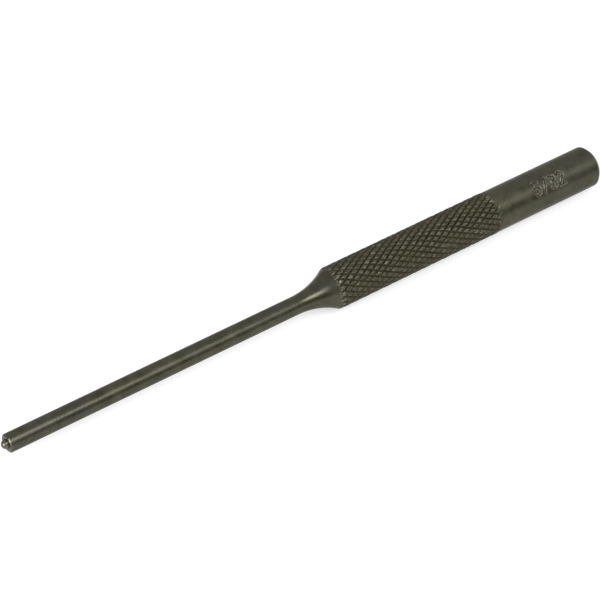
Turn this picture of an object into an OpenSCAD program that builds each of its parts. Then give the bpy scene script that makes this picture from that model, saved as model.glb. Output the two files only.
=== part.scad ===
// Pin punch for hollow spring pins, turned from one bar of tool steel.
// The punch lies along +X, with the centre of the tip's shoulder at the origin,
// the nib towards -X and the struck end towards +X. All lengths are millimetres.

/* [Tip] */
// Diameter of the nib that centres the punch in a hollow pin
nib_d = 1.97; // [1:0.01:2.4]
// Length of the nib's straight stretch, before its round end
nib_straight_l = 0.13; // [0.05:0.01:1]
// Chamfer round the rim of the tip's shoulder
tip_chamfer = 0.25; // [0.1:0.01:0.4]

/* [Shank and neck] */
// Diameter of the shank that follows the pin through its hole
shank_d = 3.97; // [3.5:0.01:6]
// Length of the shank, from the tip's shoulder to the neck
shank_l = 69; // [30:0.5:120]
// Radius of the hollow curve that joins the shank to the grip
neck_r = 18.2; // [8:0.1:30]

/* [Knurled grip] */
// Diameter over the diamonds of the knurl
knurl_d = 9.32; // [8.5:0.01:12]
// Length of the knurl between its run-outs
knurl_l = 41.8; // [15:0.1:80]
// Grooves of each hand round the grip
knurl_starts = 21; // [12:1:30]
// Angle between the grooves and the punch's axis, in degrees
knurl_helix = 28; // [20:1:35]
// Depth of the grooves
groove_depth = 0.26; // [0.1:0.01:0.35]
// Width of the grooves over the diamonds
groove_w = 0.5; // [0.2:0.01:0.7]
// Length over which the grooves fade at each end of the grip
groove_run_out = 0.35; // [0.2:0.01:1]
// Turn of the pattern about the punch's axis, in degrees
knurl_turn = 5.2; // [0:0.1:17]
// Steps that round a top in the two rows at each end, which the punch lies on
round_steps = 14; // [2:1:16]

/* [Head] */
// Diameter of the plain head
head_d = 9.15; // [8.5:0.01:12]
// Length of the plain head, from the knurl's run-out to the struck face
head_l = 28.25; // [8:0.1:60]
// Length along the axis of the chamfer round the struck face
head_chamfer_l = 0.88; // [0.2:0.01:2]
// Depth of the same chamfer, measured from the head's side
head_chamfer_depth = 0.82; // [0.2:0.01:2]

/* [Hidden] */
$fn = 96;
steel_colour = "#46463a";

// Ledge left round each end of the knurl, and how far that end reaches into its neighbour
knurl_ledge = 0.05;
nib_r = nib_d / 2;
shank_r = shank_d / 2;
knurl_r = knurl_d / 2;
head_r = head_d / 2;
groove_r = knurl_r - groove_depth;

// The neck's arc leaves the shank tangent to it and ends just above the grooves
neck_end_r = groove_r + knurl_ledge;
neck_rise = neck_end_r - shank_r;
neck_l = sqrt(neck_rise * (2 * neck_r - neck_rise));
neck_x = shank_l;
grip_x = neck_x + neck_l;
knurl_x = grip_x + groove_run_out;
head_x = knurl_x + knurl_l + groove_run_out;

// Both hands of groove cross on evenly spaced rows, and a diamond spans two rows
groove_lead = PI * knurl_d / tan(knurl_helix);
knurl_rows = max(4, round(2 * knurl_starts * knurl_l / groove_lead));
row_step = knurl_l / knurl_rows;
groove_pitch = PI * knurl_d * cos(knurl_helix) / knurl_starts;
flat_share = 1 - groove_w / groove_pitch;
edge_share = (1 - flat_share) / 2;

// Point on the grip at a row and a place round it, both counted in grooves
function knurl_point(row, place, radius) =
    let (angle = 360 * (place + row / 2) / knurl_starts)
    [radius * cos(angle), radius * sin(angle), row * row_step];

// Place of a step across a top, from its left corner at 0 to its right one
function step_place(i, step) = i + edge_share + flat_share * step / round_steps;

// Flat end ring, under or over the end row's crossings and the steps across its tops
function end_ring(row, z, radius) = [
    for (i = [0 : knurl_starts - 1], step = [-1 : round_steps])
        let (p = knurl_point(row, step < 0 ? i : step_place(i, step), radius)) [p.x, p.y, z]
];

// Points between the left and right corners of the tops in the rounded rows
function is_round(row) = row < 2 || row > knurl_rows - 2;
function step_points() = [
    for (row = [0 : knurl_rows]) if (is_round(row))
        for (i = [0 : knurl_starts - 1], step = [1 : round_steps - 1])
            knurl_point(row, step_place(i, step), knurl_r)
];

// One point for each start and for each of a run of rows
function knurl_points(first_row, last_row, row_shift, place, radius) = [
    for (row = [first_row : last_row], i = [0 : knurl_starts - 1])
        let (p = knurl_point(row, i + place, radius)) [p.x, p.y, p.z + row_shift * row_step]
];

// Where the points of each kind start in the polyhedron's list
rows_n = (knurl_rows + 1) * knurl_starts;
inner_n = knurl_rows * knurl_starts;
left_at = rows_n;
right_at = left_at + rows_n;
lower_at = right_at + rows_n;
upper_at = lower_at + inner_n;
step_at = upper_at + inner_n;
inner_steps = round_steps - 1;
front_at = step_at + 4 * knurl_starts * inner_steps;
ring_n = (round_steps + 2) * knurl_starts;
rear_at = front_at + ring_n;

// Numbers of a crossing of two grooves and of a diamond's four top corners
function wrap(i) = (i + knurl_starts) % knurl_starts;
function crossing(row, i) = row * knurl_starts + wrap(i);
function left_of(row, i) = left_at + row * knurl_starts + i;
function right_of(row, i) = right_at + row * knurl_starts + i;
function lower_of(row, i) = lower_at + (row - 1) * knurl_starts + i;
function upper_of(row, i) = upper_at + row * knurl_starts + i;

// Two triangles for four corners named anticlockwise as seen from outside
function two(a, b, c, d) = [[a, c, b], [a, d, c]];

// The walls and the top of the half of a diamond above, or below, its middle row
function upper_half(row, i) = concat(
    two(crossing(row, i + 1), crossing(row + 1, i), upper_of(row, i), right_of(row, i)),
    two(crossing(row + 1, i), crossing(row, i), left_of(row, i), upper_of(row, i))
);
function lower_half(row, i) = concat(
    two(crossing(row - 1, i + 1), crossing(row, i + 1), right_of(row, i), lower_of(row, i)),
    two(crossing(row, i), crossing(row - 1, i + 1), lower_of(row, i), left_of(row, i))
);
function plain_top(row, i) = two(lower_of(row, i), right_of(row, i), upper_of(row, i), left_of(row, i));

// A rounded row's top: its middle line, and a fan of triangles on each side that the row has
function round_row(row) = row < 2 ? row : row - knurl_rows + 3;
function step_of(row, i, step) = step_at + (round_row(row) * knurl_starts + i) * inner_steps + step - 1;
function middle_line(row, i) = [
    left_of(row, i),
    for (step = [1 : inner_steps]) step_of(row, i, step),
    right_of(row, i)
];
function upper_fan(row, i, line) = [
    for (step = [1 : round_steps]) [line[step - 1], upper_of(row, i), line[step]]
];
function lower_fan(row, i, line) = [
    for (step = [1 : round_steps]) [lower_of(row, i), line[step - 1], line[step]]
];
function round_top(row, i) = concat(
    row == knurl_rows ? [] : upper_fan(row, i, middle_line(row, i)),
    row == 0 ? [] : lower_fan(row, i, middle_line(row, i))
);

// The end row's outline, over or under the end ring's points
function end_outline(row) = [
    for (i = [0 : knurl_starts - 1]) each concat([crossing(row, i)], middle_line(row, i))
];

// Walls that fade the grooves into an end ring, from a lower outline to an upper one
function band(lower, upper) = [
    for (i = [0 : len(lower) - 1], j = [(i + 1) % len(lower)])
        each two(lower[i], lower[j], upper[j], upper[i])
];

module diamond_knurl() {
    front = [for (i = [0 : ring_n - 1]) front_at + i];
    rear = [for (i = [0 : ring_n - 1]) rear_at + i];
    points = concat(
        knurl_points(0, knurl_rows, 0, 0, groove_r),
        knurl_points(0, knurl_rows, 0, edge_share, knurl_r),
        knurl_points(0, knurl_rows, 0, 1 - edge_share, knurl_r),
        knurl_points(1, knurl_rows, -flat_share, 1 / 2, knurl_r),
        knurl_points(0, knurl_rows - 1, flat_share, 1 / 2, knurl_r),
        step_points(),
        end_ring(0, -groove_run_out - knurl_ledge, groove_r),
        end_ring(knurl_rows, knurl_l + groove_run_out + knurl_ledge, head_r - knurl_ledge)
    );
    faces = concat(
        [for (row = [0 : knurl_rows - 1], i = [0 : knurl_starts - 1]) each upper_half(row, i)],
        [for (row = [1 : knurl_rows], i = [0 : knurl_starts - 1]) each lower_half(row, i)],
        [for (row = [0 : knurl_rows], i = [0 : knurl_starts - 1])
            each is_round(row) ? round_top(row, i) : plain_top(row, i)],
        band(front, end_outline(0)),
        band(end_outline(knurl_rows), rear),
        [front],
        [[for (i = [len(rear) - 1 : -1 : 0]) rear[i]]]
    );
    translate([0, 0, knurl_x]) rotate([0, 0, knurl_turn]) polyhedron(points = points, faces = faces);
}

// Round-ended nib, which keeps the punch centred in a hollow pin
module nib() {
    translate([0, 0, -nib_straight_l]) {
        cylinder(r = nib_r, h = nib_straight_l + tip_chamfer);
        sphere(r = nib_r);
    }
}

// Parallel shank with a chamfered shoulder
module shank() {
    rotate_extrude() polygon([
        [0, 0],
        [shank_r - tip_chamfer, 0],
        [shank_r, tip_chamfer],
        [shank_r, neck_x],
        [0, neck_x]
    ]);
}

// Hollow neck, an arc tangent to the shank
module neck() {
    rotate_extrude() difference() {
        translate([0, neck_x]) square([neck_end_r, neck_l]);
        translate([shank_r + neck_r, neck_x]) circle(r = neck_r, $fn = 360);
    }
}

// Plain head with a chamfered struck face
module head() {
    rotate_extrude() polygon([
        [0, head_x],
        [head_r, head_x],
        [head_r, head_x + head_l - head_chamfer_l],
        [head_r - head_chamfer_depth, head_x + head_l],
        [0, head_x + head_l]
    ]);
}

module punch_body() {
    color(steel_colour) rotate([0, 90, 0]) {
        nib();
        shank();
        neck();
        diamond_knurl();
        head();
    }
}

punch_body();
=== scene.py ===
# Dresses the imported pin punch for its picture: one turned steel bar with a rolled knurl and a stamped size.
# The skin is worked out in millimetres as (place along the bar, angle about it, radius), then made in metres.
import math

import bmesh
import bpy
import numpy as np
from mathutils import Matrix, Vector


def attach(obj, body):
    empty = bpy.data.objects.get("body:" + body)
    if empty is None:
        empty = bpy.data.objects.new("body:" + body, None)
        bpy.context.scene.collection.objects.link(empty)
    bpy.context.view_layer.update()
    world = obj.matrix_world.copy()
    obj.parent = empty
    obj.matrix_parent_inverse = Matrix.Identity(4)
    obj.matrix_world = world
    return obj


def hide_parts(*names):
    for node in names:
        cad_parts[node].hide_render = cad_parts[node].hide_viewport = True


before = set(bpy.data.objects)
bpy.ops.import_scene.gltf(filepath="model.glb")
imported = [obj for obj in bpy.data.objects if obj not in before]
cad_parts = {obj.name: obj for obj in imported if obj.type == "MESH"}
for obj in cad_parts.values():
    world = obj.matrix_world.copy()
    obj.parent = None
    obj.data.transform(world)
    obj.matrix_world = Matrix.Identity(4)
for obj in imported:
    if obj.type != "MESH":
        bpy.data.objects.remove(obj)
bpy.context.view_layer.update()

MM = 0.001
TURN = 360.0
ALONG_BAR = (1, 0, 0)
WHITE = (1, 1, 1, 1)

# Turned surfaces, from the nib's pole at one end to the struck face at the other
NIB_R = 0.985
NIB_STRAIGHT = 0.13
NIB_END_X = -NIB_STRAIGHT - NIB_R
SHANK_R = 1.985
SHANK_L = 69.0
TIP_CHAMFER = 0.25
TIP_TOP_X = 1.0
NECK_R = 18.2
HEAD_R = 4.575
FACE_X = 148.896
FACE_R = 3.755
FACE_RING_R = 0.4
HEAD_CHAMFER_X = FACE_X - 0.88
HEAD_END_X = HEAD_CHAMFER_X - 0.8

# Radii of the rounded corners: at the nib's foot, round the tip and round the struck face
CORNER_R = 0.05
TIP_CORNER_R = 0.16
FACE_CORNER_R = 0.22

# Rings on each turned stretch, with the one that it starts from
NECK_STEPS = 18
SHANK_STEPS = 14
NIB_STEPS = 13
LEAD_STEPS = 6
TAIL_STEPS = 5

# Rolled knurl: grooves of two hands, called p and q, which cross on evenly spaced rows.
# Its turn is in degrees, and its twist in degrees for each millimetre along the bar.
STARTS = 21
KNURL_R = 4.66
FIRST_ROW_X = 78.637
ROW_STEP = 1.30218
ROWS = 32
KNURL_TURN = 5.225
KNURL_TWIST = -0.1289
PITCH = 1.22
CELL_SHARES = (0.0, 0.06, 0.2, 0.32, 0.5, 0.68, 0.8, 0.94)
GROOVE_DEPTH = 0.20
GROOVE_HALF = 0.26
GROOVE_WAVE = 0.10
P_STRENGTH = 0.64
Q_STRENGTH = 0.84
STRENGTH_SPREAD = 0.16
RIM_AT = 0.40
RIM_DEPTH = 0.13
MIDDLE_DEPTH = 0.045
DENT_DEPTH = 0.02
DENT_BASE = 0.4

# Run-out of the grooves at the head
FADE_X = 119.95
FADE_L = 0.95
FADE_WAVER = 0.22
LEAD_GAP = 0.4

# Bare metal and dirt on the knurl, and painted shade in its diamonds' middles, with how far each reaches in
# millimetres
RIM_WEAR, RIM_REACH = 0.08, 0.09
CORNER_WEAR, CORNER_REACH = 0.8, 0.15
FLECK_FROM, FLECK_SPAN = 0.55, 0.9
REAR_WEAR, REAR_REACH, REAR_GROOVE_LIMIT = 0.35, 0.5, 0.4
CREASE_LEAST, CREASE_REACH, CREASE_GROOVE_LIMIT = 0.3, 0.11, 0.5
# Painted shade: the middles of the diamonds' tops are darkened with the grooves' dirt colour, less so in
# clean patches
MIDDLE_FROM, MIDDLE_SPAN = 0.42, 0.15
MIDDLE_PAINTED_SHADE = 0.65
PATCH_CLEAN = 0.4

# Bare metal on the tip and round the struck face
TIP_RIM_WEAR, TIP_RIM_REACH = 0.17, 0.1
SHOULDER_WEAR, SHOULDER_GAP, ON_SHOULDER = 0.28, 0.1, 0.01
NIB_WEAR = 0.25
FACE_EDGE_WEAR, FACE_EDGE_IN, FACE_EDGE_REACH = 0.5, 0.05, 0.12
FACE_WEAR, ON_FACE = 0.12, 0.02

# Stamped size on the plain head
STAMP_TEXT = "5/32"
STAMP_X = 130.2
STAMP_END_X = 139.4
STAMP_ANGLE = 222.0
STAMP_HALF_ANGLE = 30.0
STAMP_STEP = 0.062
STAMP_MARGIN = 0.3
STAMP_HEIGHT = 2.9
STAMP_WIDTH = 1.75
STAMP_GAP = 0.5
STROKE_HALF = 0.17
STROKE_SLOPE = 0.06
STROKE_DEPTH = 0.11
BURR_AT = 0.27
BURR_HALF = 0.12
BURR_HEIGHT = 0.035
BURR_UNEVEN = 0.7
BURR_DIVISOR = 1.5
BURR_WEAR = 0.4
PLAIN_STEP_ANGLE = 4.0

# Shapes of the stamped signs, as strokes in a box one unit wide and one high
SIGNS = {
    "5": [[(0.9, 1.0), (0.15, 1.0), (0.08, 0.56), (0.5, 0.64), (0.85, 0.5),
           (0.95, 0.3), (0.82, 0.1), (0.45, 0.0), (0.05, 0.1)]],
    "/": [[(0.15, -0.05), (0.85, 1.05)]],
    "3": [[(0.05, 0.95), (0.45, 1.0), (0.82, 0.88), (0.85, 0.68), (0.62, 0.54), (0.35, 0.53)],
          [(0.62, 0.54), (0.92, 0.38), (0.9, 0.14), (0.5, 0.0), (0.05, 0.08)]],
    "2": [[(0.08, 0.8), (0.25, 0.97), (0.6, 1.0), (0.88, 0.84), (0.84, 0.6),
           (0.4, 0.3), (0.05, 0.0), (0.95, 0.0)]],
}

# Waves of the noise, from this share of the fineness asked for up to this much more
WAVE_LEAST = 0.6
WAVE_SPREAD = 0.8


# Smooth noise with a fixed seed, of about unit size, over points in millimetres
def make_noise(seed, wave, count=24):
    random = np.random.RandomState(seed)
    ways = random.normal(size=(count, 3))
    lengths = np.linalg.norm(ways, axis=1, keepdims=True)
    ways *= (2 * math.pi / wave) * (WAVE_LEAST + WAVE_SPREAD * random.rand(count, 1)) / lengths
    phases = random.rand(count) * 2 * math.pi

    def noise(points):
        return np.sin(points @ ways.T + phases).sum(axis=-1) * math.sqrt(2 / count)

    return noise


def step_smoothly(value):
    share = np.clip(value, 0, 1)
    return share * share * (3 - 2 * share)


def bell(distance, reach):
    return np.exp(-((distance / reach) ** 2))


def place(x, angle, r):
    a = np.radians(angle)
    return np.stack([x, r * np.sin(a), -r * np.cos(a)], axis=-1)


# The skin collects vertices and faces, with the island of the map that each face lies on
class Skin:
    def __init__(self):
        self.parts = []
        self.count = 0
        self.faces = []

    def add(self, x, angle, r, groove=0.0, wear=0.0, stamp=0.0, rolled=0.0):
        values = np.broadcast_arrays(*np.atleast_1d(x, angle, r, groove, wear, stamp, rolled))
        self.parts.append(np.stack([v.ravel().astype(float) for v in values], axis=1))
        numbers = self.count + np.arange(values[0].size).reshape(values[0].shape)
        self.count += values[0].size
        return numbers

    def face(self, corners, island):
        self.faces += [(tuple(int(c) for c in row), island) for row in np.asarray(corners)]

    def join(self, low, high, island):
        next_low, next_high = np.roll(low, -1), np.roll(high, -1)
        self.face(np.stack([low, high, next_high, next_low], axis=-1), island)

    # Joins two rings whose vertices stand at different angles
    def zip(self, low, low_angles, high, high_angles, island):
        start = float(np.min(low_angles))

        def in_order(ring, angles):
            turned = (angles - start) % TURN
            return [(float(turned[k]), ring[k]) for k in np.argsort(turned)]

        low_list, high_list = in_order(low, low_angles), in_order(high, high_angles)
        low_list.append((TURN, low_list[0][1]))
        high_list.append((high_list[0][0] + TURN, high_list[0][1]))
        i = j = 0
        low_left = high_left = True
        while low_left or high_left:
            if low_left and (not high_left or low_list[i + 1][0] <= high_list[j + 1][0]):
                self.face([[low_list[i][1], high_list[j][1], low_list[i + 1][1]]], island)
                i += 1
            else:
                self.face([[low_list[i][1], high_list[j][1], high_list[j + 1][1]]], island)
                j += 1
            low_left, high_left = i < len(low_list) - 1, j < len(high_list) - 1


# Points along a turned profile whose corners are rounded, with a loop on each side that keeps flats flat
def rounded(points, radii, arc_steps=4, support=0.6):
    out = [points[0]]
    for before, corner, after, radius in zip(points, points[1:], points[2:], radii):
        p, c, q = (np.array(v, float) for v in (before, corner, after))
        u, v = (p - c) / np.linalg.norm(p - c), (q - c) / np.linalg.norm(q - c)
        reach = radius / math.tan(math.acos(np.clip(u @ v, -1, 1)) / 2)
        middle = c + (u + v) / np.linalg.norm(u + v) * math.hypot(radius, reach)
        first, last = c + u * reach, c + v * reach
        out.append(tuple(first + u * support * radius))
        for k in range(arc_steps + 1):
            share = k / arc_steps
            way = (first - middle) * (1 - share) + (last - middle) * share
            out.append(tuple(middle + way / np.linalg.norm(way) * radius))
        out.append(tuple(last + v * support * radius))
    out.append(points[-1])
    return out


def neck_radius(x):
    reach = np.clip(x - SHANK_L, 0, NECK_R)
    return SHANK_R + NECK_R - np.sqrt(NECK_R**2 - reach**2)


skin = Skin()
groove_noise = make_noise(seed=3, wave=9.0)
dent_noise = make_noise(seed=4, wave=0.8)
wear_noise = make_noise(seed=5, wave=1.5)
fade_noise = make_noise(seed=6, wave=1.6)
stamp_noise = make_noise(seed=8, wave=0.9)

# Knurl: a diamond grid whose lines follow the grooves, with one spare row at each end
per_cell = len(CELL_SHARES)
round_n = STARTS * per_cell
along_n = (ROWS + 2) * per_cell


def line_at(index):
    return index // per_cell + np.array(CELL_SHARES)[index % per_cell]


m, j = np.meshgrid(np.arange(round_n), np.arange(along_n + 1), indexing="ij")
n = j - per_cell - m
p, q = line_at(m), line_at(n)
knurl_x = FIRST_ROW_X + ROW_STEP * (p + q)
knurl_angle = TURN / STARTS / 2 * (q - p) + KNURL_TURN + KNURL_TWIST * (knurl_x - FIRST_ROW_X)
bar = place(knurl_x, knurl_angle, np.full(knurl_x.shape, KNURL_R))

line_random = np.random.RandomState(7)
p_strength = P_STRENGTH + STRENGTH_SPREAD * line_random.rand(STARTS)
q_strength = Q_STRENGTH + STRENGTH_SPREAD * line_random.rand(STARTS)


# Depth of one hand's grooves, each with a strength of its own, and the distance to the nearest of them
def groove_depth(line, strength):
    nearest = np.rint(line)
    away = np.abs(line - nearest) * PITCH
    wave = 1 + GROOVE_WAVE * groove_noise(bar)
    own = strength[nearest.astype(int) % STARTS]
    return own * wave * GROOVE_DEPTH * np.clip(1 - away / GROOVE_HALF, 0, 1), away


p_depth, p_away = groove_depth(p, p_strength)
q_depth, q_away = groove_depth(q, q_strength)
edge_away = np.minimum(p_away, q_away)
shoulder = RIM_DEPTH * np.clip(1 - edge_away / RIM_AT, 0, 1) ** 2
hollow = MIDDLE_DEPTH * np.clip((edge_away - RIM_AT) / (PITCH / 2 - RIM_AT), 0, 1)
dents = DENT_DEPTH * np.clip(DENT_BASE + dent_noise(bar), 0, 2)
rolled = KNURL_R - np.maximum(p_depth, q_depth) - shoulder - hollow - dents

# The grooves run out into the head, and the neck's curve cuts the knurl off at its other end
fade = step_smoothly((knurl_x + FADE_WAVER * fade_noise(bar) - FADE_X) / FADE_L)
arc = neck_radius(knurl_x)
cut = arc < rolled
on_grip = (1 - fade) * ~cut
knurl_r = np.where(cut, arc, rolled * (1 - fade) + HEAD_R * fade)
knurl_r = np.minimum(knurl_r, KNURL_R)

# Dirt lies in the grooves, painted shade darkens the diamonds' middles, and edges are worn bare in patches
in_groove = np.clip(np.maximum(p_depth, q_depth) / GROOVE_DEPTH, 0, 1) * on_grip
shaded_middle = np.clip((edge_away - MIDDLE_FROM) / MIDDLE_SPAN, 0, 1) * on_grip
rim = bell(edge_away - RIM_AT, RIM_REACH)
corner = bell(np.abs(p_away - RIM_AT) + np.abs(q_away - RIM_AT), CORNER_REACH)
patches = np.clip(0.5 + 0.5 * wear_noise(bar), 0, 1)
flecks = np.clip((wear_noise(bar) - FLECK_FROM) / FLECK_SPAN, 0, 1)
rear_edge = bell(knurl_x - FADE_X, REAR_REACH) * (in_groove < REAR_GROOVE_LIMIT)
knurl_wear = RIM_WEAR * rim + CORNER_WEAR * corner * flecks + REAR_WEAR * rear_edge * patches**2
crease = bell(rolled - arc, CREASE_REACH) * (in_groove < CREASE_GROOVE_LIMIT)
crease_wear = crease * (CREASE_LEAST + (1 - CREASE_LEAST) * patches)
knurl_wear = np.clip(knurl_wear * on_grip + crease_wear, 0, 1)
# The grooves' dirt and the painted shade in the diamonds' middles, in one mask
dirt_and_painted_shade = np.maximum(in_groove, MIDDLE_PAINTED_SHADE * shaded_middle * (1 - PATCH_CLEAN * patches))

grid = skin.add(knurl_x, knurl_angle, knurl_r, groove=dirt_and_painted_shade, wear=knurl_wear, rolled=on_grip)
beside = np.roll(grid, -1, axis=0)
cells = np.stack([grid[:, :-2], grid[:, 1:-1], beside[:, 2:], beside[:, 1:-1]], axis=-1)
skin.face(cells.reshape(-1, 4), "knurl")
skin.face(np.stack([grid[:, 0], beside[:, 1], beside[:, 0]], axis=-1), "knurl")
skin.face(np.stack([grid[:, -2], grid[:, -1], beside[:, -1]], axis=-1), "knurl")
front_ring, rear_ring = grid[:, 0], grid[:, -1]
front_angles, rear_angles = knurl_angle[:, 0], knurl_angle[:, -1]

# Neck, shank and tip, ring by ring from the knurl down to the nib's pole
neck_xs = np.linspace(float(knurl_x[0, 0]), SHANK_L, NECK_STEPS)[1:]
shank_xs = np.linspace(SHANK_L, TIP_TOP_X, SHANK_STEPS)[1:]
tip_corners = [
    (TIP_TOP_X, SHANK_R),
    (TIP_CHAMFER, SHANK_R),
    (0.0, SHANK_R - TIP_CHAMFER),
    (0.0, NIB_R),
    (-NIB_STRAIGHT, NIB_R),
]
tip_profile = rounded(tip_corners, (TIP_CORNER_R, TIP_CORNER_R, CORNER_R))[1:]
nib_angles = np.linspace(0, math.pi / 2, NIB_STEPS)[1:-1]
nib_profile = [(-NIB_STRAIGHT - NIB_R * math.sin(a), NIB_R * math.cos(a)) for a in nib_angles]


def tip_wear(x, r):
    rim = TIP_RIM_WEAR * bell(x - TIP_CHAMFER, TIP_RIM_REACH)
    ring = SHOULDER_WEAR * (abs(x) < ON_SHOULDER and r > NIB_R + SHOULDER_GAP)
    nib = NIB_WEAR * (x < -NIB_STRAIGHT)
    return max(rim, ring, nib)


front_rings = [(x, neck_radius(x), 0.0, "neck") for x in neck_xs]
front_rings += [(x, SHANK_R, 0.0, "shank") for x in shank_xs]
front_rings += [(x, r, tip_wear(x, r), "tip") for x, r in tip_profile + nib_profile]
ring = front_ring
for x, r, worn, island in front_rings:
    previous, ring = ring, skin.add(x, front_angles, r, wear=worn)
    skin.join(ring, previous, island)
pole = skin.add(NIB_END_X, 0.0, 0.0, wear=tip_wear(NIB_END_X, 0.0))[0]
skin.face([[pole, a, b] for a, b in zip(ring, np.roll(ring, -1))], "tip")


# Distance from places on the head, unrolled, to the nearest stroke of the stamped signs
def stroke_distance(x, y):
    best = np.full(x.shape, np.inf)
    for k, sign in enumerate(STAMP_TEXT):
        left = STAMP_X + STAMP_MARGIN + k * (STAMP_WIDTH + STAMP_GAP)
        for line in SIGNS[sign]:
            spots = [(left + u * STAMP_WIDTH, (v - 0.5) * STAMP_HEIGHT) for u, v in line]
            for (ax, ay), (bx, by) in zip(spots, spots[1:]):
                dx, dy = bx - ax, by - ay
                share = np.clip(((x - ax) * dx + (y - ay) * dy) / (dx * dx + dy * dy), 0, 1)
                best = np.minimum(best, np.hypot(x - ax - share * dx, y - ay - share * dy))
    return best


# Head: fine columns and rings round the stamp, plain ones elsewhere
fine_step = math.degrees(STAMP_STEP / HEAD_R)
fine_angles = np.arange(STAMP_ANGLE - STAMP_HALF_ANGLE, STAMP_ANGLE + STAMP_HALF_ANGLE, fine_step)
plain_n = round((TURN - 2 * STAMP_HALF_ANGLE) / PLAIN_STEP_ANGLE)
plain_angles = np.linspace(fine_angles[-1], fine_angles[0] + TURN, plain_n + 1)[1:-1]
head_angles = np.concatenate([fine_angles, plain_angles])
lead_xs = np.linspace(float(knurl_x[0, -1]) + LEAD_GAP, STAMP_X, LEAD_STEPS)
stamp_xs = np.arange(STAMP_X + STAMP_STEP, STAMP_END_X, STAMP_STEP)
tail_xs = np.linspace(STAMP_END_X, HEAD_END_X, TAIL_STEPS)


# Lift of the surface, burr and dirt that the stamp gives to one ring of the head
def stamp_at(xs):
    up = np.radians(head_angles - STAMP_ANGLE) * HEAD_R
    away = stroke_distance(xs, -up)
    rough = 1 + BURR_UNEVEN * stamp_noise(place(xs, head_angles, np.full(xs.shape, HEAD_R)))
    burr = bell(away - BURR_AT, BURR_HALF) * np.clip(rough, 0, 2) / BURR_DIVISOR
    lift = BURR_HEIGHT * burr - STROKE_DEPTH * step_smoothly(1 - away / (STROKE_HALF + STROKE_SLOPE))
    return lift, burr, np.clip(1 - away / STROKE_HALF, 0, 1)


ring = None
for x in np.concatenate([lead_xs, stamp_xs, tail_xs]):
    xs = np.full(head_angles.shape, x)
    lift, burr, mark = stamp_at(xs) if STAMP_X <= x <= STAMP_END_X else (0.0, 0.0, 0.0)
    previous, ring = ring, skin.add(xs, head_angles, HEAD_R + lift, wear=BURR_WEAR * burr, stamp=mark)
    if previous is None:
        skin.zip(rear_ring, rear_angles % TURN, ring, head_angles % TURN, "head")
    else:
        skin.join(previous, ring, "head")

face_corners = [(HEAD_END_X, HEAD_R), (HEAD_CHAMFER_X, HEAD_R), (FACE_X, FACE_R), (FACE_X, FACE_RING_R)]
for x, r in rounded(face_corners, (FACE_CORNER_R, FACE_CORNER_R))[1:]:
    worn = FACE_EDGE_WEAR * bell(r - FACE_R + FACE_EDGE_IN, FACE_EDGE_REACH)
    worn += FACE_WEAR * (x > FACE_X - ON_FACE)
    previous, ring = ring, skin.add(x, head_angles, r, wear=worn)
    skin.join(previous, ring, "face")
pole = skin.add(FACE_X, 0.0, 0.0, wear=FACE_WEAR)[0]
skin.face([[a, pole, b] for a, b in zip(ring, np.roll(ring, -1))], "face")

# Map for the baked textures: the bar unrolled into strips, in a square measured in millimetres.
# A strip has its left side, its bottom, the place along the bar where it starts and the height of a turn.
SHEET = 75.0
STRIP_MARGIN = 0.5
STRIPS = {
    "shank": (1.0, 31.5, 0.0, 12.6),
    "neck": (1.0, 45.5, SHANK_L, 28.0),
    "knurl": (1.0, 1.0, 77.2, 28.6),
    "head": (46.0, 1.0, 121.5, 28.6),
}
DISCS = {"tip": (20.0, 50.0), "face": (32.0, 52.5)}
TIP_SPREAD = 0.8
FACE_SPREAD = 0.9


def map_spot(island, x, r, angle):
    if island in STRIPS:
        left, bottom, start, height = STRIPS[island]
        return left + x - start, bottom + STRIP_MARGIN + angle / TURN * height
    centre_u, centre_v = DISCS[island]
    if island == "tip":
        reach = math.hypot(r, TIP_SPREAD * max(0.0, x - NIB_END_X))
    else:
        reach = r + FACE_SPREAD * max(0.0, FACE_X - x)
    return centre_u + reach * math.cos(math.radians(angle)), centre_v + reach * math.sin(math.radians(angle))


# Corners on the map, with each face in one piece where the unrolled turn starts again
data = np.concatenate(skin.parts)
spots = place(data[:, 0], data[:, 1], data[:, 2])
map_corners = []
for corners, island in skin.faces:
    angles = [data[c, 1] % TURN for c in corners]
    turned = [angles[0] + (a - angles[0] + TURN / 2) % TURN - TURN / 2 for a in angles]
    shift = math.floor(sum(turned) / len(turned) / TURN) * TURN
    for c, angle in zip(corners, turned):
        map_corners.append(map_spot(island, data[c, 0], data[c, 2], angle - shift))

mesh = bpy.data.meshes.new("pin_punch")
mesh.from_pydata((spots * MM).tolist(), [], [corners for corners, _ in skin.faces])
# One of these layers holds the grooves' dirt together with the painted shade in the diamonds' middles
for column, name in enumerate(("groove", "wear", "stamp", "rolled"), start=3):
    layer = mesh.attributes.new(name, "FLOAT", "POINT")
    layer.data.foreach_set("value", data[:, column].astype(np.float32))
layout = mesh.uv_layers.new(name="OFBake")
layout.data.foreach_set("uv", (np.array(map_corners, dtype=np.float32) / SHEET).ravel())
mesh.validate()
turned_out = bmesh.new()
turned_out.from_mesh(mesh)
bmesh.ops.recalc_face_normals(turned_out, faces=turned_out.faces)
turned_out.to_mesh(mesh)
turned_out.free()
mesh.shade_smooth()
punch = bpy.data.objects.new("pin_punch", mesh)
bpy.context.scene.collection.objects.link(punch)
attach(punch, "root")
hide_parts("punch_body")

# Numbers of the sockets that a mix node has for colours
COLOUR_A, COLOUR_B, COLOUR_OUT = 6, 7, 2


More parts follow.
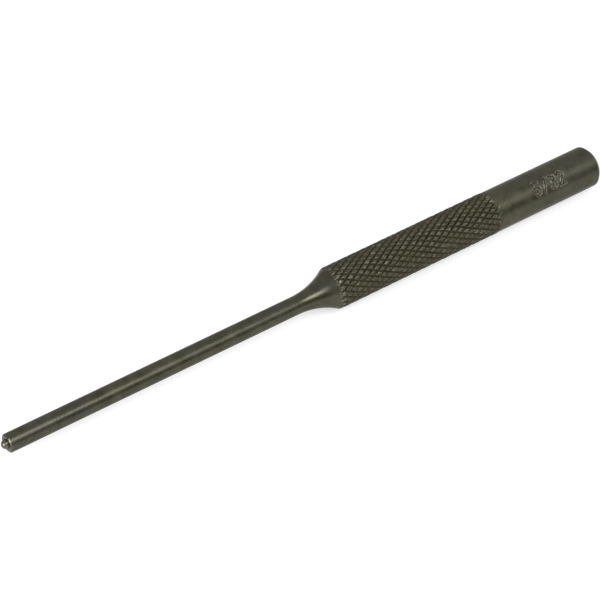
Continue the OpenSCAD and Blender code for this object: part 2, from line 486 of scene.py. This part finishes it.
# Small helpers for the node trees of a material or of the world
class Nodes:
    def __init__(self, owner):
        owner.use_nodes = True
        self.tree = owner.node_tree
        self.tree.nodes.clear()

    def add(self, kind, **inputs):
        node = self.tree.nodes.new("ShaderNode" + kind)
        for key, value in inputs.items():
            self.put(node.inputs[key.replace("_", " ")], value)
        return node

    def put(self, socket, value):
        if isinstance(value, bpy.types.NodeSocket):
            self.tree.links.new(value, socket)
        else:
            socket.default_value = value

    def math(self, operation, a, b, clamp=False):
        node = self.add("Math")
        node.operation = operation
        node.use_clamp = clamp
        self.put(node.inputs[0], a)
        self.put(node.inputs[1], b)
        return node.outputs[0]

    def plus(self, a, b):
        return self.math("ADD", a, b)

    def minus(self, a, b):
        return self.math("SUBTRACT", a, b)

    def times(self, a, b, clamp=False):
        return self.math("MULTIPLY", a, b, clamp)

    def larger(self, a, b):
        return self.math("MAXIMUM", a, b)

    def fade(self, value, low, high, to_low=0.0, to_high=1.0):
        node = self.add("MapRange")
        for k, v in enumerate((value, low, high, to_low, to_high)):
            self.put(node.inputs[k], v)
        return node.outputs[0]

    def mix(self, share, a, b):
        node = self.add("Mix")
        node.data_type = "RGBA"
        self.put(node.inputs["Factor"], share)
        self.put(node.inputs[COLOUR_A], a)
        self.put(node.inputs[COLOUR_B], b)
        return node.outputs[COLOUR_OUT]

    def noise(self, vector, scale, detail, rough):
        node = self.add("TexNoise", Vector=vector, Scale=scale, Detail=detail, Roughness=rough)
        return node.outputs["Fac"]

    def stretch(self, vector, scale):
        return self.add("Mapping", Vector=vector, Scale=scale).outputs["Vector"]

    def towards(self, vector, way):
        node = self.add("VectorMath")
        node.operation = "DOT_PRODUCT"
        self.put(node.inputs[0], vector)
        self.put(node.inputs[1], way)
        return node.outputs["Value"]

    def attribute(self, name):
        node = self.add("Attribute")
        node.attribute_name = name
        return node.outputs["Fac"]

    def bump(self, height, strength, depth, under=None):
        node = self.add("Bump", Height=height, Strength=strength, Distance=depth * MM)
        if under is not None:
            self.put(node.inputs["Normal"], under)
        return node.outputs["Normal"]


# Oxide-blackened tool steel: olive and brown mottling, lathe marks, bare bright edges, dull grooves and
# painted shade in the knurl diamonds' middles
DARK_OXIDE = (0.048, 0.049, 0.031, 1)
PALE_OXIDE = (0.088, 0.087, 0.061, 1)
BROWN_OXIDE = (0.081, 0.072, 0.042, 1)
GREY_OXIDE = (0.069, 0.067, 0.061, 1)
ROLLED_DARK = (0.038, 0.0355, 0.018, 1)
ROLLED_PALE = (0.084, 0.079, 0.043, 1)
# Dark oxide of the dirt in the grooves and stamped marks, also used as painted shade in the diamonds' middles
GROOVE_DIRT_AND_SHADE = (0.031, 0.027, 0.014, 1)
BARE_STEEL = (0.38, 0.355, 0.31, 1)
EDGE_TINT = (0.68, 0.68, 0.66, 1)
METALLIC = 0.85

# Noises over places in millimetres: scale, detail and roughness
LATHE_NOISE = (9.0, 3.0, 0.6)
BLOTCH_NOISE = (0.35, 3.0, 0.6)
SPECK_NOISE = (3.2, 2.0, 0.6)
BROWN_NOISE = (0.45, 2.0, 0.5)
GREY_NOISE = (0.2, 1.0, 0.5)
ROLLED_NOISE = (2.2, 2.0, 0.6)
LATHE_STRETCH = (1.0, 0.04, 0.04)

# Stretches of a noise or a mask over which a colour comes in, and the most that it takes
BLOTCH_SHARE = 0.65
MOTTLE_RANGE = (0.38, 0.62)
BROWN_RANGE, BROWN_SHARE = (0.45, 0.65), 0.6
GREY_RANGE, GREY_SHARE = (0.5, 0.62), 0.35
ROLLED_RANGE, ROLLED_SHARE = (0.35, 0.65), 0.85
DIRT_AND_SHADE_RANGE = (0.3, 0.95)
BARE_RANGE, BARE_LEAST = (0.35, 0.6), 0.35

# Roughness of the oxide, and what each place adds to it or takes from it along the bar
SHEEN_RANGE, ROUGHNESS = (0.3, 0.7), (0.25, 0.39)
DIRT_ROUGHNESS = 0.25
ROLLED_ROUGHNESS = 0.12
BARE_ROUGHNESS = 0.2
HEAD_RANGE, HEAD_ROUGHNESS = (120.0, 122.0), 0.04
TIP_GLOSS_RANGE, TIP_GLOSS = (-0.1, 0.25), 0.1
NECK_GLOSS_IN, NECK_GLOSS_OUT, NECK_GLOSS = (64.0, 70.0), (74.5, 76.5), 0.05

# Bumps: strength, and depth in millimetres
LATHE_BUMP = (0.25, 0.01)
SPECK_BUMP = (0.4, 0.03)
ROLLED_BUMP = (0.7, 0.09)

blackened_steel = bpy.data.materials.new("blackened_steel")
steel = Nodes(blackened_steel)
where = steel.add("TexCoord").outputs["Object"]
in_mm = steel.stretch(where, (1 / MM, 1 / MM, 1 / MM))
along = steel.towards(in_mm, ALONG_BAR)
lathe_marks = steel.noise(steel.stretch(in_mm, LATHE_STRETCH), *LATHE_NOISE)
blotches = steel.noise(in_mm, *BLOTCH_NOISE)
specks = steel.noise(in_mm, *SPECK_NOISE)
rolled_marks = steel.noise(in_mm, *ROLLED_NOISE)
groove = steel.attribute("groove")
wear = steel.attribute("wear")
stamp = steel.attribute("stamp")
rolled_here = steel.attribute("rolled")

mottle = steel.plus(steel.times(blotches, BLOTCH_SHARE), steel.times(specks, 1 - BLOTCH_SHARE))
brown_patch = steel.times(steel.fade(steel.noise(in_mm, *BROWN_NOISE), *BROWN_RANGE), BROWN_SHARE)
grey_patch = steel.fade(steel.noise(in_mm, *GREY_NOISE), *GREY_RANGE, 0.0, GREY_SHARE)
rolled_oxide = steel.mix(steel.fade(rolled_marks, *ROLLED_RANGE), ROLLED_DARK, ROLLED_PALE)
# Mask of the dirt in grooves and stamped marks and of the painted shade in the diamonds' middles
dirt_and_shade_mix = steel.fade(steel.larger(groove, stamp), *DIRT_AND_SHADE_RANGE)
bare = steel.times(wear, steel.fade(specks, *BARE_RANGE, BARE_LEAST, 1.0), clamp=True)

colour = steel.mix(steel.fade(mottle, *MOTTLE_RANGE), DARK_OXIDE, PALE_OXIDE)
colour = steel.mix(brown_patch, colour, BROWN_OXIDE)
colour = steel.mix(grey_patch, colour, GREY_OXIDE)
colour = steel.mix(steel.times(rolled_here, ROLLED_SHARE), colour, rolled_oxide)
colour = steel.mix(dirt_and_shade_mix, colour, GROOVE_DIRT_AND_SHADE)
colour = steel.mix(bare, colour, BARE_STEEL)

neck_gloss = steel.fade(along, *NECK_GLOSS_OUT, NECK_GLOSS, 0.0)
neck_gloss = steel.times(steel.fade(along, *NECK_GLOSS_IN), neck_gloss)
roughness = steel.fade(mottle, *SHEEN_RANGE, *ROUGHNESS)
roughness = steel.plus(roughness, steel.times(dirt_and_shade_mix, DIRT_ROUGHNESS))
roughness = steel.plus(roughness, steel.times(rolled_here, ROLLED_ROUGHNESS))
roughness = steel.minus(roughness, steel.fade(along, *TIP_GLOSS_RANGE, TIP_GLOSS, 0.0))
roughness = steel.minus(roughness, neck_gloss)
roughness = steel.plus(roughness, steel.fade(along, *HEAD_RANGE, 0.0, HEAD_ROUGHNESS))
roughness = steel.plus(roughness, steel.times(bare, BARE_ROUGHNESS))

normal = steel.bump(lathe_marks, *LATHE_BUMP)
normal = steel.bump(specks, *SPECK_BUMP, under=normal)
rolled_strength, rolled_depth = ROLLED_BUMP
normal = steel.bump(rolled_marks, steel.times(rolled_here, rolled_strength), rolled_depth, under=normal)
shader = steel.add(
    "BsdfPrincipled", Base_Color=colour, Roughness=roughness, Metallic=METALLIC, Specular_Tint=EDGE_TINT,
    Normal=normal,
)
steel.add("OutputMaterial", Surface=shader.outputs["BSDF"])
mesh.materials.append(blackened_steel)

# Pale floor, which the camera sees as white with the punch's soft shadow
FLOOR_HALF = 1.5
FLOOR_SHADE = (0.45, 0.45, 0.45, 1)
FLOOR_GLOW = 0.62
floor_mesh = bpy.data.meshes.new("floor")
floor_mesh.from_pydata(
    [(sx * FLOOR_HALF, sy * FLOOR_HALF, -KNURL_R * MM) for sx, sy in ((-1, -1), (1, -1), (1, 1), (-1, 1))],
    [], [(0, 1, 2, 3)],
)
floor = bpy.data.objects.new("floor", floor_mesh)
bpy.context.scene.collection.objects.link(floor)
white_paper = bpy.data.materials.new("white_paper")
paper = Nodes(white_paper)
rays = paper.add("LightPath").outputs
seen = paper.larger(rays["Is Camera Ray"], rays["Is Glossy Ray"])
seen = paper.larger(seen, rays["Is Transmission Ray"])
diffuse = paper.add("BsdfDiffuse", Color=FLOOR_SHADE)
glow = paper.add("Emission", Color=WHITE, Strength=paper.times(seen, FLOOR_GLOW))
both = paper.add("AddShader")
paper.put(both.inputs[0], diffuse.outputs["BSDF"])
paper.put(both.inputs[1], glow.outputs["Emission"])
paper.add("OutputMaterial", Surface=both.outputs["Shader"])
floor_mesh.materials.append(white_paper)

# Plain pale room, darker low in front and towards the tip
ROOM = 0.75
FRONT_WAY, FRONT_RANGE, FRONT_SHADE = (0.0, 0.75, 0.66), (-0.5, 0.1), 0.32
TIP_RANGE, TIP_SHADE = (-0.4, 0.4), 0.7
world = bpy.data.worlds.new("room")
bpy.context.scene.world = world
room = Nodes(world)
way = room.add("TexCoord").outputs["Generated"]
front_level = room.fade(room.towards(way, FRONT_WAY), *FRONT_RANGE, FRONT_SHADE * ROOM, ROOM)
tip_level = room.fade(room.towards(way, ALONG_BAR), *TIP_RANGE, TIP_SHADE, 1.0)
sky = room.add("Background", Color=WHITE, Strength=room.times(front_level, tip_level))
room.add("OutputWorld", Surface=sky.outputs["Background"])

# Softboxes: the way from the bar's middle, distance, width and height in metres, radiance and colour
MIDDLE = Vector((74 * MM, 0, 0))
PLAIN_LIGHT = (1, 1, 1)
SOFTBOXES = {
    "key": ((0.08, -0.60, 0.79), 2.5, 1.30, 1.00, 7.8, (0.94, 0.95, 1.0)),
    "fill": ((0.64, -0.52, 0.57), 2.5, 0.90, 0.80, 1.3, PLAIN_LIGHT),
    "side": ((-0.92, -0.20, 0.33), 0.8, 0.60, 0.60, 3.0, PLAIN_LIGHT),
    "tip": ((-0.957, -0.064, 0.283), 0.823, 0.20, 0.20, 20.0, PLAIN_LIGHT),
}
for name, (way, distance, width, height, radiance, tone) in SOFTBOXES.items():
    lamp = bpy.data.lights.new(name, "AREA")
    lamp.color = tone
    lamp.shape = "RECTANGLE"
    lamp.size = width
    lamp.size_y = height
    lamp.energy = radiance * math.pi * width * height
    box = bpy.data.objects.new(name, lamp)
    way = Vector(way).normalized()
    box.location = MIDDLE + way * distance
    box.rotation_euler = way.to_track_quat("Z", "Y").to_euler()
    bpy.context.scene.collection.objects.link(box)

# Camera at the photograph's place, found from the punch's own outline in it
LENS = 155.104
CLIP_START = 0.01
CAMERA_AT = (-0.171917, -0.324983, 0.339980)
AZIMUTH = math.radians(36.70318)
ELEVATION = math.radians(39.91639)
right = Vector((math.cos(AZIMUTH), -math.sin(AZIMUTH), 0))
forward = Vector((
    math.sin(AZIMUTH) * math.cos(ELEVATION),
    math.cos(AZIMUTH) * math.cos(ELEVATION),
    -math.sin(ELEVATION),
))
up = right.cross(forward)
view = bpy.data.cameras.new("camera")
view.lens = LENS
view.clip_start = CLIP_START
camera = bpy.data.objects.new("camera", view)
turn = Matrix((right, up, -forward)).transposed().to_4x4()
camera.matrix_world = Matrix.Translation(Vector(CAMERA_AT)) @ turn
bpy.context.scene.collection.objects.link(camera)
bpy.context.scene.camera = camera
bpy.context.scene.view_settings.view_transform = "Standard"

bpy.context.view_layer.update()
